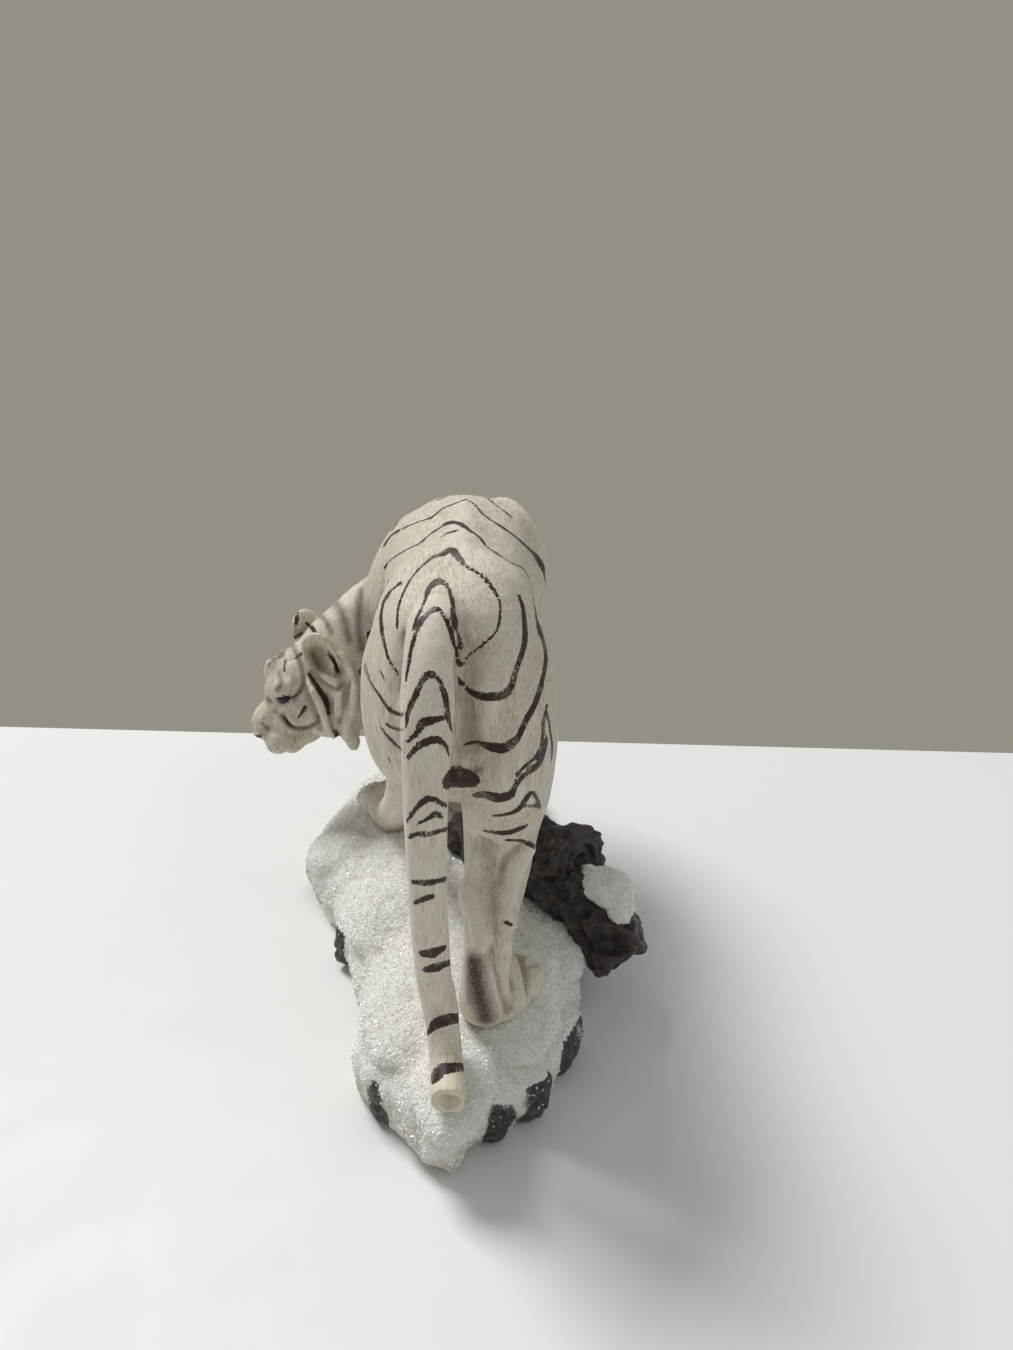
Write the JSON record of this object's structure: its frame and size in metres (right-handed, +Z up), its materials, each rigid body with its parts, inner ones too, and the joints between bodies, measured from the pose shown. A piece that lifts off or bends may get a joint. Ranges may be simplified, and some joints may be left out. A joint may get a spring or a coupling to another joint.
{
  "type": "tiger figurine",
  "caption": "Cast resin figurine of a white tiger walking over a snowy rock and a dead log, head turned down to its left, tail tip snapped off.",
  "frame": {"origin": "middle of the figurine's footprint box, on the flat underside", "axes": "+Y the way the tiger walks, +Z up, +X to the tiger's right"},
  "size_m": [0.1417, 0.2154, 0.1617],
  "materials": {
    "painted_resin": "cast resin painted by hand: ivory fur with dark brown stripes, white grainy snow, dark brown bark and rock"
  },
  "bodies": {
    "root": {"tiger_figurine": "painted_resin"}
  },
  "joints": []
}
